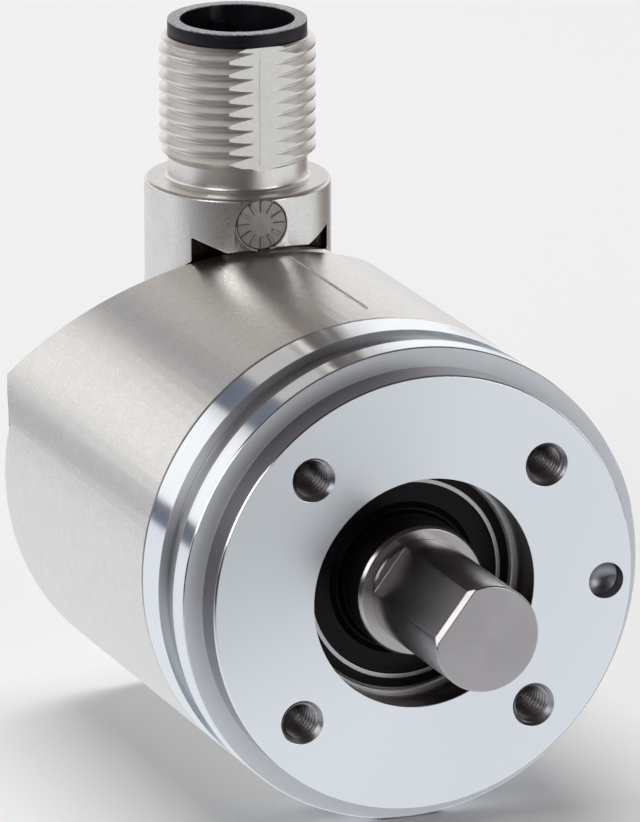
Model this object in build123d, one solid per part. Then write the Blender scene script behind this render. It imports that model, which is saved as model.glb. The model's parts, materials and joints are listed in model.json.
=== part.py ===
from build123d import *
from math import acos, cos, degrees, pi, radians, sin, sqrt
import os

os.makedirs("parts", exist_ok=True)

# Frame: millimetres, shaft along Y with its free end towards -Y, connector up along +Z.
# The origin is the centre of the flange's front face.

# Outside of the body
body_r = 18.0
spigot_step = 1.5
spigot_length = 2.4
front_land_width = 2.05
groove_width = 2.9
groove_depth = 0.8
rear_land_width = 3.25
rear_face_y = 40.3
edge_break = 0.12
seam_break = 0.08
wall = 1.6
rear_wall = 2.2
rear_edge_round = 0.7

# Flange inside
front_bore_r = 8.7
front_bore_depth = 3.9
seal_ledge = 0.35
seal_width = 3.5
seal_to_bearing = 1.2
sleeve_clearance = 0.3
sleeve_overrun = 0.6
collar_length = 3.8
collar_clearance = 0.03

# Fixing holes in the front face
fixing_count = 4
fixing_circle_r = 13.0
fixing_turn = 42.2
fixing_hole_r = 1.25
fixing_hole_depth = 6.0
fixing_mouth_r = 1.68
locating_hole_r = 1.375
locating_inset = 2.0
locating_turn = -2.9
locating_depth = 1.2
drill_point = 59.0

# Shaft
shaft_r = 4.0
shaft_reach = 11.75
shaft_chamfer = 0.1
flat_chamfer = 0.35
flat_distance = 3.45
flat_turn = 142.0
flat_run_out = 0.1
journal_r = 5.0
journal_start = 0.45
journal_round = 0.25
journal_overrun = 1.6
stub_r = 2.0
stub_length = 5.2

# Bearings, two alike
bearing_height = 4.5
bearing_width = 5.0
bearing_gap = 4.0
ball_count = 9
ball_share = 0.2667
race_height = 1.4
race_clearance = 0.04
cage_thickness = 0.7
cage_rim = 0.25
shield_thickness = 0.25
shield_inset = 0.15
shield_clearance = 0.12
shield_seat = 0.3
spacer_wall = 1.3

# Shaft seal
seal_rim = 0.69
seal_case = 0.33
seal_case_length = 2.9
seal_membrane = 0.45
seal_front_inset = 0.4
lip_clearance = 0.04
lip_wall = 0.5
garter_wire_r = 0.25
garter_inset = 1.1
seal_lining = 0.25
seal_hook = 0.1
seal_root = 0.15
lip_flare = 0.3
lip_relief = 0.25
lip_slope = 0.6
dust_lip_inset = 0.12
dust_lip_width = 0.75

# Rings and springs
ring_thickness = 0.8
ring_groove_depth = 0.4
ring_width = 1.3
ring_gap_angle = 34.0
ring_lug_r = 0.95
ring_hole_r = 0.4
ring_groove_play = 0.05
ring_lug_turn = 4.0
ring_lug_sink = 0.1
shaft_ring_thickness = 0.7
shaft_ring_groove = 0.25
shaft_ring_width = 1.3
spring_height = 1.0
spring_thickness = 0.3
spring_inner_gap = 0.15
spring_outer_gap = 0.1
spring_edge = 0.3

# Gear train
module = 0.4
pinion_teeth = 20
counter_teeth = [24, 25]
counter_turns = [-45.0, -135.0]
tooth_addendum = 0.8
tooth_dedendum = 1.2
tooth_share = 0.44
flank_taper = 0.30
tooth_foot = 0.02
gear_width = 1.8
pinion_width = 2.0
gear_play = 0.25
pin_r = 0.75
gear_bore_clearance = 0.04
gear_hub_wall = 0.6
gear_magnet_r = 2.0
gear_magnet_length = 1.6
gear_web = 0.4
shaft_magnet_r = 3.0
shaft_magnet_length = 1.6
holder_wall = 0.6
holder_floor = 0.6
carrier_thickness = 1.2
carrier_gap = 0.2
carrier_inset = 1.0
shaft_clearance = 0.5

# Boards
board_thickness = 1.0
board_inset = 0.8
magnet_gap = 0.6
sensor_chip_height = 0.7
main_board_gap = 2.2
stack_turns = [-90.0, 10.0, 170.0]
stack_inset = 2.5
stack_spacer_r = 1.7
stack_screw_r = 0.95
stack_hole_clearance = 0.1
stack_head_r = 1.8
stack_head_height = 1.1
stack_screw_bite = 3.0
screw_slot_width = 0.4
screw_slot_depth = 0.4
board_hub_gap = 0.5

# What the boards carry
sensor_chip_width = 5.0
counter_chip_width = 3.0
processor_width = 7.0
processor_depth = 1.0
processor_drop = 6.0
driver_width = 5.0
driver_height = 4.0
driver_depth = 1.4
driver_inset = 6.6
driver_drop = 1.5
crystal_width = 3.2
crystal_height = 2.5
crystal_depth = 0.8
crystal_inset = 6.6
crystal_drop = 3.5
capacitor_count = 3
capacitor_width = 2.0
capacitor_height = 1.2
capacitor_pitch = 1.8
capacitor_inset = 8.1
capacitor_drop = 7.0
link_width = 6.0
link_height = 2.6
link_inset = 7.6
link_drop = 7.5
socket_width = 7.0
socket_height = 2.4
socket_depth = 1.7
socket_drop = 1.8

# Housing cut for the connector
lip_reach = 2.6
flange_seal_r = 0.6
flange_seal_slack = 0.02

# Swivel joint, on the axis square to the slanted face
swivel_inset = 3.33
swivel_drop = 5.17
swivel_range = 180.0
swivel_spare = 8.0
face_gap = 0.05
hub_r = 4.5
hub_clearance = 0.05
hub_hole_r = 3.1
hub_boss_wall = 2.85
hub_boss_depth = 3.6
hub_end_depth = 5.2
hub_ring_depth = 4.0
hub_ring_thickness = 0.7
hub_ring_groove = 0.35
hub_ring_width = 1.55
washer_thickness = 0.35
hub_seal_r = 0.5
hub_seal_depth = 1.8
toe_play = 0.9
toe_gap = 0.45
toe_half_width = 3.3
toe_rise = 1.0
relief_clearance = 0.1
notch_width = 2.2
notch_back = 3.4

# Connector
tower_r = 7.1
tower_height = 4.4
tower_chamfer = 0.2
chamber_step = 0.65
chamber_floor = 1.3
chamber_drop = 2.2
insert_r = 4.75
neck_r = 5.3
neck_height = 1.7
thread_r = 5.95
thread_length = 9.5
thread_flat = 5.28
thread_lead = 0.5
rim_height = 1.1
rim_r = 5.3
socket_wall = 0.4
socket_length = 8.2
key_width = 1.0
key_height = 0.55
pin_count = 7
contact_r = 0.4
contact_circle_r = 2.75
contact_sink = 0.6
contact_tail = 1.4

# How far a cutter runs past the surface, and two parts of one solid into each other
over = 1.0
sink = 0.1

# Places that follow from the sizes
spigot_r = body_r - spigot_step
bearing_r = journal_r + bearing_height
seam_y = spigot_length + front_land_width + groove_width + rear_land_width
collar_r = body_r - wall - collar_clearance
collar_end = seam_y + collar_length
bearing_y = front_bore_depth + seal_width + seal_to_bearing
rear_bearing_y = bearing_y + bearing_width + bearing_gap
bearing_end = rear_bearing_y + bearing_width
ring_y = bearing_end + spring_height
sleeve_end = ring_y + ring_thickness + sleeve_overrun
journal_end = bearing_end + journal_overrun
carrier_y = sleeve_end + carrier_gap
carrier_end = carrier_y + carrier_thickness
gear_y = carrier_end + gear_play
pinion_end = gear_y + pinion_width
magnet_y = pinion_end + holder_floor + gear_web
magnet_end = magnet_y + shaft_magnet_length
sensor_board_y = magnet_end + magnet_gap + sensor_chip_height
main_board_y = sensor_board_y + board_thickness + main_board_gap
stack_end = main_board_y + board_thickness
inside_r = body_r - wall
inside_end = rear_face_y - rear_wall
stack_circle_r = inside_r - stack_inset
carrier_r = inside_r - carrier_inset
board_r = inside_r - board_inset
sleeve_r = stack_circle_r - stack_spacer_r - sleeve_clearance
seal_r = front_bore_r - seal_ledge
inner_race_r = journal_r + race_height
outer_race_r = bearing_r - race_height
ball_circle_r = (inner_race_r + outer_race_r) / 2
ball_r = bearing_height * ball_share
cage_width = 2 * (ball_r + cage_rim)
swivel_y = rear_face_y - swivel_inset
swivel_z = body_r - swivel_drop
cut_sum = swivel_y + swivel_z
cut_wall = rear_wall * sqrt(2)
hub_boss_r = hub_r + hub_clearance + hub_boss_wall
hub_ring_r = hub_r - hub_ring_groove + hub_ring_width
toe_inner_r = hub_boss_r + toe_play
notch_half_width = toe_half_width + notch_width
board_limit = cut_sum - (hub_end_depth + board_hub_gap) * sqrt(2) - board_thickness
sensor_board_top = board_limit - sensor_board_y
main_board_top = board_limit - main_board_y
chamber_r = insert_r - chamber_step
tower_top = body_r + tower_height
chamber_top = tower_top - chamber_drop
contact_low = chamber_top - contact_tail
neck_top = tower_top + neck_height
thread_top = neck_top + thread_length
contact_tip = thread_top - contact_sink
socket_r = insert_r - socket_wall
socket_floor = thread_top - socket_length

swivel_plane = Plane(origin=(0, swivel_y, swivel_z), x_dir=(1, 0, 0), z_dir=(0, 1, 1))
tower_plane = Plane(origin=(0, swivel_y, 0), x_dir=(1, 0, 0), z_dir=(0, 0, 1))


def turned(outline):
    """A body of revolution about the shaft axis from (radius, y) points."""
    return revolve(make_face(Polyline(*outline, close=True)), Axis.Y)


def ring(inner, outer, start, length):
    """A plain ring on the shaft axis."""
    end = start + length
    return turned([(inner, start), (outer, start), (outer, end), (inner, end)])


def disc(radius, start, length, x=0.0, z=0.0):
    """A round bar along Y, on the shaft axis unless a place is given."""
    return Pos(x, start + length / 2, z) * Rot(-90, 0, 0) * Cylinder(radius, length)


def on_circle(radius, turn):
    """The X and Z of a point on a circle about the shaft axis."""
    return radius * cos(radians(turn)), radius * sin(radians(turn))


def swivel_turned(outline, arc=360.0, start=0.0):
    """A body of revolution about the swivel axis from (radius, height) points.

    Heights count outwards from the slanted face, and start is measured from the
    toe's side towards +X.
    """
    face = make_face(Polyline(*[(r, 0, t) for r, t in outline], close=True))
    solid = revolve(face, Axis.Z, arc)
    return swivel_plane * Rot(0, 0, start - 90) * solid


def swivel_ring(inner, outer, start, end):
    """A plain ring on the swivel axis."""
    return swivel_turned([(inner, start), (outer, start), (outer, end), (inner, end)])


def swivel_disc(radius, start, end):
    """A round bar on the swivel axis."""
    bar = Pos(0, 0, (start + end) / 2) * Cylinder(radius, end - start)
    return swivel_plane * bar


def tower_disc(radius, low, high):
    """A round bar on the connector's upright axis."""
    return tower_plane * Pos(0, 0, (low + high) / 2) * Cylinder(radius, high - low)


def side_prism(outline, half_width):
    """A prism along X from a (y, z) outline of the side view."""
    face = make_face(Polyline(*outline, close=True))
    return extrude(Plane.YZ * face, half_width, both=True)


def flange():
    """Synchro flange with spigot, clamping groove, collar and bearing sleeve."""
    land_end = spigot_length + front_land_width
    groove_end = land_end + groove_width
    groove_r = body_r - groove_depth
    seal_bottom_r = inside_r - 2 * flange_seal_r - flange_seal_slack
    seal_start = seam_y + collar_length / 2 - flange_seal_r
    seal_end = seal_start + 2 * flange_seal_r
    snap_r = bearing_r + ring_groove_depth
    snap_end = ring_y + ring_thickness
    body = turned([
        (front_bore_r, 0),
        (spigot_r - edge_break, 0),
        (spigot_r, edge_break),
        (spigot_r, spigot_length),
        (body_r - edge_break, spigot_length),
        (body_r, spigot_length + edge_break),
        (body_r, land_end),
        (groove_r, land_end),
        (groove_r, groove_end),
        (body_r, groove_end),
        (body_r, seam_y - seam_break),
        (body_r - seam_break, seam_y),
        (collar_r, seam_y),
        (collar_r, seal_start),
        (seal_bottom_r, seal_start),
        (seal_bottom_r, seal_end),
        (collar_r, seal_end),
        (collar_r, collar_end - edge_break),
        (collar_r - edge_break, collar_end),
        (sleeve_r, collar_end),
        (sleeve_r, sleeve_end),
        (bearing_r, sleeve_end),
        (bearing_r, snap_end),
        (snap_r, snap_end),
        (snap_r, ring_y),
        (bearing_r, ring_y),
        (bearing_r, bearing_y),
        (seal_r, bearing_y),
        (seal_r, front_bore_depth),
        (front_bore_r, front_bore_depth),
    ])
    for place in range(fixing_count):
        x, z = on_circle(fixing_circle_r, fixing_turn + place * 360 / fixing_count)
        body -= drilled(fixing_hole_r, fixing_hole_depth, x, z)
        mouth = Cone(fixing_mouth_r, fixing_hole_r, fixing_mouth_r - fixing_hole_r)
        body -= Pos(x, (fixing_mouth_r - fixing_hole_r) / 2, z) * Rot(-90, 0, 0) * mouth
    x, z = on_circle(spigot_r - locating_inset, locating_turn)
    body -= drilled(locating_hole_r, locating_depth, x, z)
    for turn in stack_turns:
        x, z = on_circle(stack_circle_r, turn)
        body -= disc(stack_screw_r, collar_end - stack_screw_bite, stack_screw_bite, x, z)
    return body


def drilled(radius, depth, x, z):
    """A blind hole from the front face, with the cone that the drill leaves."""
    point = radius / tan_of(drill_point)
    tip = Pos(x, depth + point / 2, z) * Rot(-90, 0, 0) * Cone(radius, 0, point)
    return disc(radius, 0, depth, x, z) + tip


def tan_of(angle):
    return sin(radians(angle)) / cos(radians(angle))


def flange_seal():
    """Ring of round rubber cord between the flange's collar and the housing."""
    centre_r = inside_r - flange_seal_r
    turn = Pos(0, seam_y + collar_length / 2, 0) * Rot(-90, 0, 0)
    return turn * Torus(centre_r, flange_seal_r)


def housing():
    """Die-cast cup with the slanted face that carries the swivel connector."""
    lip_y = rear_face_y + lip_reach
    lip_z = cut_sum - lip_y
    top_y = cut_sum - body_r
    step_z = lip_z - lip_reach
    side = side_prism([
        (seam_y, -body_r - over),
        (rear_face_y, -body_r - over),
        (rear_face_y, step_z),
        (lip_y, lip_z),
        (top_y, body_r),
        (top_y - over, body_r + over),
        (seam_y, body_r + over),
    ], body_r + over)
    barrel = turned([
        (0, seam_y),
        (body_r - seam_break, seam_y),
        (body_r, seam_y + seam_break),
        (body_r, lip_y + over),
        (0, lip_y + over),
    ])
    shell = barrel & side
    rear_edge = shell.edges().filter_by(GeomType.CIRCLE).group_by(Axis.Y)
    low = [e for group in rear_edge for e in group
           if abs(e.center().Y - rear_face_y) < 0.01]
    shell = fillet(low, rear_edge_round)
    inner_sum = cut_sum - cut_wall
    cavity = disc(inside_r, seam_y, inside_end - seam_y) & side_prism([
        (seam_y, -body_r),
        (inside_end, -body_r),
        (inside_end, inner_sum - inside_end),
        (inner_sum - body_r, body_r),
        (seam_y, body_r),
    ], body_r)
    boss = swivel_disc(hub_boss_r, -hub_boss_depth, -cut_wall / 2) & cavity
    shell = shell - cavity + boss
    shell -= swivel_disc(hub_r + hub_clearance, -hub_end_depth - over, over)
    spot_r = hub_ring_r + relief_clearance
    shell -= swivel_disc(spot_r, -hub_end_depth - over, -hub_boss_depth)
    return shell - toe_relief()


def toe_relief():
    """Curved channel in the slanted face that the toe runs through on its way round."""
    low = -(toe_drop() + relief_clearance)
    high = relief_clearance
    reach = tower_r * sqrt(2) + relief_clearance * 2
    toe_angle = degrees(acos(1 - (toe_half_width / toe_inner_r) ** 2 / 2))
    sweep = swivel_range + toe_angle + swivel_spare
    outline = [
        (toe_inner_r - relief_clearance, high),
        (toe_inner_r - relief_clearance, low),
        (reach + low, low),
        (reach + high, high),
    ]
    return swivel_turned(outline, sweep)


def toe_drop():
    """How far the toe reaches below the slanted face, along the swivel axis."""
    return (cut_sum - (swivel_y - tower_r) - (body_r + toe_gap)) / sqrt(2)


def shaft():
    """Stainless shaft: driven end with a flat, bearing journal and rear stub."""
    groove_r = journal_r - shaft_ring_groove
    groove_end = bearing_end + shaft_ring_thickness
    bar = turned([
        (0, -shaft_reach),
        (shaft_r - shaft_chamfer, -shaft_reach),
        (shaft_r, -shaft_reach + shaft_chamfer),
        (shaft_r, journal_start),
        (journal_r - journal_round, journal_start),
        (journal_r, journal_start + journal_round),
        (journal_r, bearing_end),
        (groove_r, bearing_end),
        (groove_r, groove_end),
        (journal_r, groove_end),
        (journal_r, journal_end),
        (stub_r, journal_end),
        (stub_r, journal_end + stub_length),
        (0, journal_end + stub_length),
    ])
    length = shaft_reach + flat_run_out
    cutter = Pos(flat_distance + shaft_r, -shaft_reach + length / 2, 0)
    cutter = cutter * Box(2 * shaft_r, length, 4 * shaft_r)
    corner = make_face(Polyline(
        (flat_distance - flat_chamfer - over, -shaft_reach - over),
        (flat_distance + over, -shaft_reach - over),
        (flat_distance + over, -shaft_reach + flat_chamfer + over),
        close=True,
    ))
    cutter += extrude(corner, 2 * shaft_r, both=True)
    return bar - Rot(0, -flat_turn, 0) * cutter


def seal_rubber():
    """Rubber of the shaft seal: rim, front wall, dust lip and sealing lip."""
    start = front_bore_depth
    end = start + seal_width
    case_outer = seal_r - seal_rim
    case_inner = case_outer - seal_case
    back = start + seal_case_length
    wall_front = start + seal_front_inset
    wall_back = wall_front + seal_membrane
    touch_r = journal_r + lip_clearance
    lip_r = touch_r + lip_wall
    garter_y = garter_place()
    return turned([
        (case_outer, start),
        (seal_r, start),
        (seal_r, end),
        (case_inner - seal_lining, end),
        (case_inner - seal_lining, wall_back),
        (lip_r + seal_root, wall_back),
        (lip_r, garter_y - garter_wire_r),
        (lip_r, garter_y + garter_wire_r),
        (lip_r + seal_hook, garter_y + 2 * garter_wire_r),
        (touch_r + lip_flare, garter_y + 2 * garter_wire_r),
        (touch_r, garter_y),
        (touch_r + lip_relief, garter_y - lip_slope),
        (touch_r + lip_relief, wall_front + lip_flare),
        (touch_r, start + dust_lip_inset),
        (touch_r + lip_flare, start),
        (touch_r + dust_lip_width, wall_front),
        (case_inner, wall_front),
        (case_inner, back),
        (case_outer, back),
    ])


def garter_place():
    return front_bore_depth + seal_width - garter_inset


def seal_case_ring():
    """Steel case bonded into the seal, its front edge bare."""
    outer = seal_r - seal_rim
    return ring(outer - seal_case, outer, front_bore_depth, seal_case_length)


def garter_spring():
    """Coil spring closed to a ring on the sealing lip, as its outer shape."""
    centre_r = journal_r + lip_clearance + lip_wall + garter_wire_r
    return Pos(0, garter_place(), 0) * Rot(-90, 0, 0) * Torus(centre_r, garter_wire_r)


def race(mid_y):
    """The track that the balls roll in, as a cutter."""
    turn = Pos(0, mid_y, 0) * Rot(-90, 0, 0)
    return turn * Torus(ball_circle_r, ball_r + race_clearance)


def bearing(start, side):
    """Every piece of one deep-groove ball bearing."""
    mid = start + bearing_width / 2
    track = race(mid)
    seat = shield_inset + shield_thickness
    seat_r = outer_race_r + shield_seat
    outer = turned([
        (seat_r, start),
        (bearing_r, start),
        (bearing_r, start + bearing_width),
        (seat_r, start + bearing_width),
        (seat_r, start + bearing_width - seat),
        (outer_race_r, start + bearing_width - seat),
        (outer_race_r, start + seat),
        (seat_r, start + seat),
    ]) - track
    inner = ring(journal_r, inner_race_r, start, bearing_width) - track
    cage_mid = ball_circle_r - cage_thickness / 2
    cage = ring(cage_mid, cage_mid + cage_thickness, mid - cage_width / 2, cage_width)
    solids = []
    for place in range(ball_count):
        turn = 90 + place * 360 / ball_count
        x, z = on_circle(ball_circle_r, turn)
        solids.append(Pos(x, mid, z) * Sphere(ball_r))
        pocket = Rot(0, 90, 0) * Cylinder(ball_r + race_clearance / 2, 4 * cage_thickness)
        cage -= Rot(0, -turn, 0) * Pos(ball_circle_r, mid, 0) * pocket
    balls = Compound(children=solids)
    shields = Compound(children=[
        ring(inner_race_r + shield_clearance, seat_r, y, shield_thickness)
        for y in (start + shield_inset, start + bearing_width - seat)
    ])
    return {
        side + "_bearing_outer_ring": outer,
        side + "_bearing_inner_ring": inner,
        side + "_bearing_balls": balls,
        side + "_bearing_cage": cage,
        side + "_bearing_shields": shields,
    }


def bearing_spacer():
    """Sleeve that keeps the two inner rings apart."""
    start = bearing_y + bearing_width
    return ring(journal_r, journal_r + spacer_wall, start, bearing_gap)


def bore_retaining_ring():
    """Snap ring in the sleeve's groove, with two lugs for pliers."""
    outer = bearing_r + ring_groove_depth - ring_groove_play
    inner = bearing_r - ring_width + ring_groove_depth
    snap = ring(inner, outer, ring_y, ring_thickness)
    half = ring_gap_angle / 2
    lug_r = inner - ring_lug_sink
    middle_y = ring_y + ring_thickness / 2
    snap -= gap_wedge(half, middle_y, ring_thickness, bearing_r)
    for side in (-1, 1):
        x, z = on_circle(lug_r, side * (half + ring_lug_turn) - 90)
        snap += disc(ring_lug_r, ring_y, ring_thickness, x, z)
    for side in (-1, 1):
        x, z = on_circle(lug_r, side * (half + ring_lug_turn) - 90)
        snap -= disc(ring_hole_r, ring_y, ring_thickness, x, z)
    return snap


def gap_wedge(half_angle, middle_y, thickness, radius):
    """The wedge at the bottom where a snap ring is open."""
    reach = 2 * radius
    left = on_circle(reach, -90 - half_angle)
    right = on_circle(reach, -90 + half_angle)
    face = make_face(Polyline((0, 0), left, right, close=True))
    return Pos(0, middle_y, 0) * Rot(90, 0, 0) * extrude(face, thickness, both=True)


def shaft_retaining_ring():
    """Open ring in the shaft's groove that holds the inner rings together."""
    inner = journal_r - shaft_ring_groove
    snap = ring(inner, inner + shaft_ring_width, bearing_end, shaft_ring_thickness)
    middle_y = bearing_end + shaft_ring_thickness / 2
    return snap - gap_wedge(ring_gap_angle, middle_y, shaft_ring_thickness, journal_r)


def preload_spring():
    """Conical spring washer between the rear outer ring and the snap ring."""
    low_r = outer_race_r + spring_inner_gap
    high_r = bearing_r - spring_outer_gap
    start = bearing_end
    end = bearing_end + spring_height
    return turned([
        (high_r, start),
        (high_r, start + spring_thickness),
        (low_r + spring_edge, end),
        (low_r, end),
        (low_r, end - spring_thickness),
        (high_r - spring_edge, start),
    ])


def gear_blank(teeth, start, width, phase):
    """A spur gear about the shaft axis, tooth by tooth."""
    middle = module * teeth / 2
    tip_r = middle + tooth_addendum * module
    root_r = middle - tooth_dedendum * module
    half = tooth_share * pi * module / 2
    rise = tip_r - middle
    fall = middle - root_r
    tip_half = half - flank_taper * rise
    root_half = half + flank_taper * fall
    core = disc(root_r, start, width)
    tooth = Polyline(
        (root_r - sink, -root_half),
        (root_r + tooth_foot, -root_half),
        (tip_r, -tip_half),
        (tip_r, tip_half),
        (root_r + tooth_foot, root_half),
        (root_r - sink, root_half),
        close=True,
    )
    blade = extrude(make_face(tooth), width)
    blade = Pos(0, start + width, 0) * Rot(90, 0, 0) * blade
    for place in range(teeth):
        core += Rot(0, -(phase + place * 360 / teeth), 0) * blade
    return core


def drive_pinion():
    """Pinion pressed on the shaft's stub."""
    gear = gear_blank(pinion_teeth, gear_y - sink, pinion_width + sink, 0)
    return gear - disc(stub_r, gear_y - over, pinion_width + 2 * over)


def counter_centre(place):
    reach = module * (pinion_teeth + counter_teeth[place]) / 2
    return on_circle(reach, counter_turns[place])


def counter_phase(place):
    """The turn that puts a gap of the counter gear on the pinion's tooth."""
    teeth = counter_teeth[place]
    line = counter_turns[place]
    past = line % (360 / pinion_teeth)
    return line + 180 + past * pinion_teeth / teeth + 180 / teeth


def counter_gear(place):
    """Counting gear with a cup for its magnet, on a fixed pin."""
    x, z = counter_centre(place)
    cup_r = gear_magnet_r + gear_hub_wall
    gear = gear_blank(counter_teeth[place], gear_y, gear_width, counter_phase(place))
    cup_y = gear_y + gear_width - sink
    gear += disc(cup_r, cup_y, magnet_end - cup_y)
    gear -= disc(gear_magnet_r, magnet_y, gear_magnet_length + over)
    bore_length = magnet_y - gear_web - gear_y + over
    gear -= disc(pin_r + gear_bore_clearance, gear_y - over, bore_length)
    return Pos(x, 0, z) * gear


def counter_magnet(place):
    x, z = counter_centre(place)
    return disc(gear_magnet_r, magnet_y, gear_magnet_length, x, z)


def gear_pins():
    """Steel pins in the carrier that the counting gears turn on."""
    end = magnet_y - gear_web - gear_bore_clearance
    pins = []
    for place in range(len(counter_teeth)):
        x, z = counter_centre(place)
        pins.append(disc(pin_r, carrier_y, end - carrier_y, x, z))
    return Compound(children=pins)


def magnet_holder():
    """Cup on the end of the shaft's stub that holds the sensing magnet."""
    outer = shaft_magnet_r + holder_wall
    cup = disc(outer, pinion_end, magnet_end - pinion_end)
    cup -= disc(shaft_magnet_r, magnet_y, shaft_magnet_length + over)
    stub_end = journal_end + stub_length
    return cup - disc(stub_r, pinion_end - over, stub_end - pinion_end + over)


def sensing_magnet():
    return disc(shaft_magnet_r, magnet_y, shaft_magnet_length)


def gear_carrier():
    """Moulded plate on the flange's spacers, with the counting gears' pins."""
    plate = disc(carrier_r, carrier_y, carrier_thickness)
    start = carrier_y - over
    depth = carrier_thickness + 2 * over
    plate -= disc(journal_r + shaft_clearance, start, depth)
    for place in range(len(counter_teeth)):
        x, z = counter_centre(place)
        plate -= disc(pin_r, start, depth, x, z)
    for turn in stack_turns:
        x, z = on_circle(stack_circle_r, turn)
        plate -= disc(screw_hole_r(), start, depth, x, z)
    return plate


def screw_hole_r():
    return stack_screw_r + stack_hole_clearance


def spacers(start, end):
    """Three tubes that keep two levels of the stack apart."""
    tubes = []
    for turn in stack_turns:
        x, z = on_circle(stack_circle_r, turn)
        tube = disc(stack_spacer_r, start, end - start, x, z)
        bore = disc(screw_hole_r(), start - over, end - start + 2 * over, x, z)
        tubes.append(tube - bore)
    return Compound(children=tubes)


def stack_screws():
    """Long screws from the rear through boards and carrier into the flange."""
    low = collar_end - stack_screw_bite
    screws = []
    for turn in stack_turns:
        x, z = on_circle(stack_circle_r, turn)
        head = disc(stack_head_r, stack_end, stack_head_height, x, z)
        slot = Box(2 * stack_head_r, 2 * screw_slot_depth, screw_slot_width)
        head -= Pos(x, stack_end + stack_head_height, z) * slot
        screws.append(head + disc(stack_screw_r, low, stack_end - low + sink, x, z))
    return Compound(children=screws)


def board(start, top):
    """A round circuit board with a straight upper edge that clears the hub."""
    plate = disc(board_r, start, board_thickness)
    above = Pos(0, start, top + board_r) * Box(3 * board_r, 4 * board_thickness, 2 * board_r)
    plate -= above
    for turn in stack_turns:
        x, z = on_circle(stack_circle_r, turn)
        plate -= disc(screw_hole_r(), start - over, board_thickness + 2 * over, x, z)
    return plate


def chip(x, z, width, height, start, depth):
    return Pos(x, start + depth / 2, z) * Box(width, depth, height)


def sensor_chips():
    """Field sensors opposite the three magnets, on the front of their board."""
    start = sensor_board_y - sensor_chip_height
    width = sensor_chip_width
    chips = [chip(0, 0, width, width, start, sensor_chip_height)]
    for place in range(len(counter_teeth)):
        x, z = counter_centre(place)
        width = counter_chip_width
        chips.append(chip(x, z, width, width, start, sensor_chip_height))
    return Compound(children=chips)


def main_chips():
    """Processor, line driver, crystal and capacitors on the main board's front."""
    processor = (0, -processor_drop, processor_width, processor_width, processor_depth)
    left = driver_inset - board_r
    right = board_r - crystal_inset
    driver = (left, -driver_drop, driver_width, driver_height, driver_depth)
    crystal = (right, -crystal_drop, crystal_width, crystal_height, crystal_depth)
    rows = [processor, driver, crystal]
    for row in range(capacitor_count):
        z = -capacitor_drop - row * capacitor_pitch
        height = capacitor_height
        x = board_r - capacitor_inset
        rows.append((x, z, capacitor_width, height, height))
    chips = []
    for x, z, width, height, depth in rows:
        chips.append(chip(x, z, width, height, main_board_y - depth, depth))
    return Compound(children=chips)


def board_link():
    """Plug strip that joins the two boards."""
    start = sensor_board_y + board_thickness
    x = link_inset - board_r
    return chip(x, -link_drop, link_width, link_height, start, main_board_gap)


def wire_socket():
    """Socket on the main board's front for the connector's leads."""
    z = main_board_top - socket_drop
    start = main_board_y - socket_depth
    return chip(0, z, socket_width, socket_height, start, socket_depth)


def connector_body():
    """Die-cast swivel connector: tower, toe, threaded spout and hub."""
    tower = tower_disc(tower_r, 0, tower_top)
    tower = chamfer(tower.edges().sort_by(Axis.Z)[-1], tower_chamfer)
    body = (tower & above_face(face_gap)) + toe(tower)
    body -= notches()
    body += spout()
    body += swivel_disc(hub_r, -hub_end_depth, chamber_floor)
    body -= swivel_disc(hub_hole_r, -hub_end_depth - over, 3 * chamber_floor)
    body -= tower_disc(chamber_r, 0, chamber_top) & above_face(chamber_floor)
    body -= tower_disc(insert_r, chamber_top, thread_top + over)
    ring_low = -(hub_ring_depth + hub_ring_thickness)
    groove_r = hub_r - hub_ring_groove
    body -= swivel_ring(groove_r, hub_r + over, ring_low, -hub_ring_depth)
    seal_low = -(hub_seal_depth + hub_seal_r)
    seal_high = seal_low + 2 * hub_seal_r
    body -= swivel_ring(hub_seal_bottom(), hub_r + over, seal_low, seal_high)
    return body


def above_face(height):
    """Everything further out than a height above the slanted face."""
    size = 2 * thread_top
    return swivel_plane * Pos(0, 0, height + size / 2) * Box(size, size, size)


def hub_seal_bottom():
    return hub_r + hub_clearance - 2 * hub_seal_r


def toe(tower):
    """The tower's front foot, which hooks over the housing's top edge."""
    low = -(toe_drop() + over)
    band = swivel_turned([
        (toe_inner_r, low),
        (tower_r * 2, low),
        (tower_r * 2, face_gap + sink),
        (toe_inner_r, face_gap + sink),
    ])
    front = Pos(0, swivel_y - tower_r, body_r)
    front = front * Box(2 * notch_half_width, tower_r, 2 * tower_r)
    foot = tower & band & front
    return foot - disc(body_r + toe_gap, 0, swivel_y)


def notches():
    """Wedge-shaped openings on both sides of the toe."""
    low = body_r - tower_r / 2
    corner = sqrt((body_r + toe_gap) ** 2 - toe_half_width ** 2)
    front = swivel_y - tower_r - over
    cut = None
    for side in (-1, 1):
        outline = make_face(Polyline(
            (side * toe_half_width, low),
            (side * toe_half_width, corner),
            (side * notch_half_width, corner + toe_rise),
            (side * notch_half_width, low),
            close=True,
        ))
        wedge = extrude(Plane.XZ * outline, -(notch_back + over))
        wedge = Pos(0, front, 0) * wedge
        cut = wedge if cut is None else cut + wedge
    return cut


def spout():
    """Round spout for the coupling thread, with a flat on each parting side."""
    neck = tower_disc(neck_r, tower_top - sink, neck_top + sink)
    barrel = tower_disc(thread_r, neck_top, thread_top)
    barrel = chamfer(barrel.edges().sort_by(Axis.Z)[-1], thread_lead)
    flats = Box(4 * thread_r, 2 * thread_flat, 4 * thread_length)
    barrel &= Pos(0, swivel_y, thread_top) * flats
    return neck + barrel


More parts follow.
